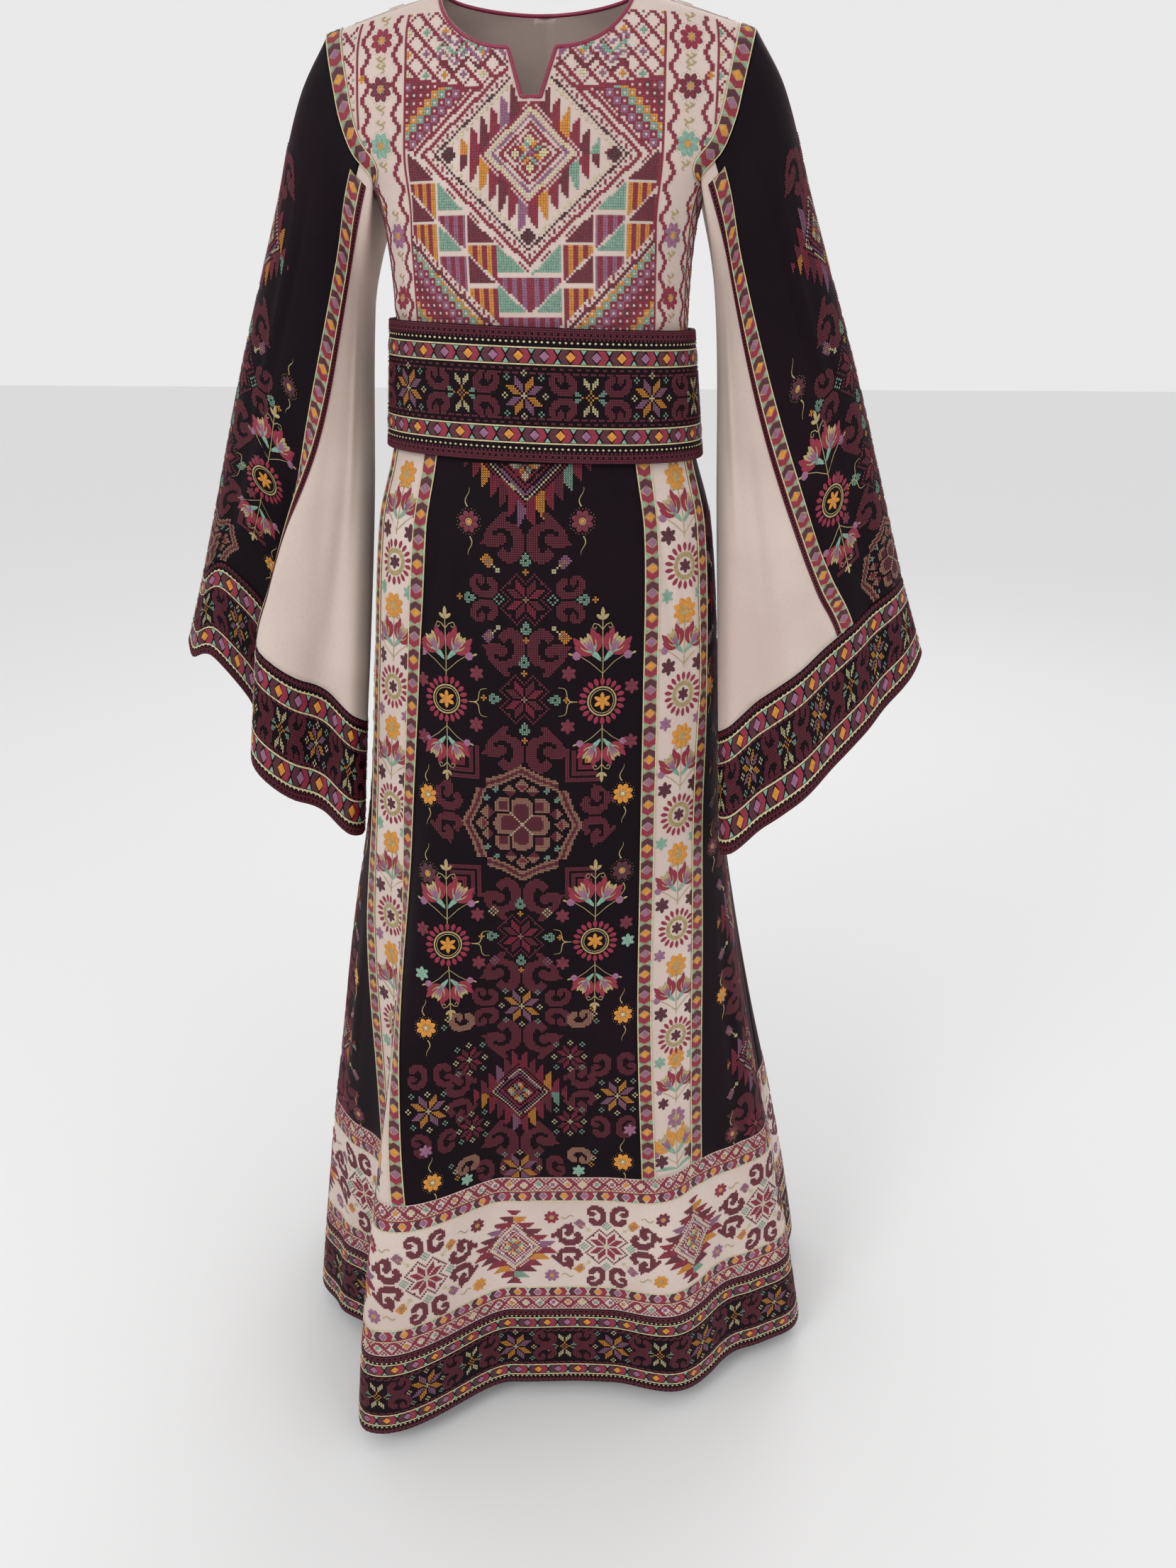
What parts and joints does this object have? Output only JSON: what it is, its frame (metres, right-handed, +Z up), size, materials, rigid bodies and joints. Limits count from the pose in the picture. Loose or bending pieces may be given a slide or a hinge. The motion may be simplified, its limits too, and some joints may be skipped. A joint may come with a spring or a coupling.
{
  "type": "embroidered thobe",
  "caption": "Long embroidered thobe in cream crepe and burgundy velvet, with bell sleeves and its own wide belt, holding its worn form",
  "frame": {"origin": "between the shoulders, level with the top of the shoulder seams, where the wearer holds the garment up", "axes": "+Z up, -Y the garment's front, +X to the right of someone who looks at the front"},
  "size_m": [0.772, 0.4898, 1.4221],
  "materials": {
    "burgundy_velvet": "short velvet pile, deep plum with a burgundy sheen",
    "belt_velvet": "stiffened velvet covered with cross stitch",
    "cream_crepe": "matt pinkish beige crepe",
    "silk_ribbon": "embroidered ribbon of small diamonds",
    "crimson_piping": "satin piping"
  },
  "bodies": {
    "root": {"bodice_front": "cream_crepe", "bodice_back": "cream_crepe", "neck_binding": "crimson_piping", "skirt_front": "burgundy_velvet", "skirt_strip_left": "cream_crepe", "skirt_strip_right": "cream_crepe", "skirt_side_left": "burgundy_velvet", "skirt_side_right": "burgundy_velvet", "skirt_back": "burgundy_velvet", "hem_border_front": "cream_crepe", "hem_border_back": "cream_crepe", "hem_band_front": "burgundy_velvet", "hem_band_back": "burgundy_velvet", "sleeve_velvet_left": "burgundy_velvet", "sleeve_panel_left": "cream_crepe", "sleeve_band_left": "burgundy_velvet", "sleeve_velvet_right": "burgundy_velvet", "sleeve_panel_right": "cream_crepe", "sleeve_band_right": "burgundy_velvet", "skirt_ribbon_outer_left": "silk_ribbon", "skirt_ribbon_inner_left": "silk_ribbon", "skirt_ribbon_inner_right": "silk_ribbon", "skirt_ribbon_outer_right": "silk_ribbon", "sleeve_ribbon_left_front": "silk_ribbon", "sleeve_ribbon_left_back": "silk_ribbon", "armhole_ribbon_left_front": "silk_ribbon", "armhole_ribbon_left_back": "silk_ribbon", "sleeve_ribbon_right_front": "silk_ribbon", "sleeve_ribbon_right_back": "silk_ribbon", "armhole_ribbon_right_front": "silk_ribbon", "armhole_ribbon_right_back": "silk_ribbon", "belt": "belt_velvet"}
  },
  "joints": []
}
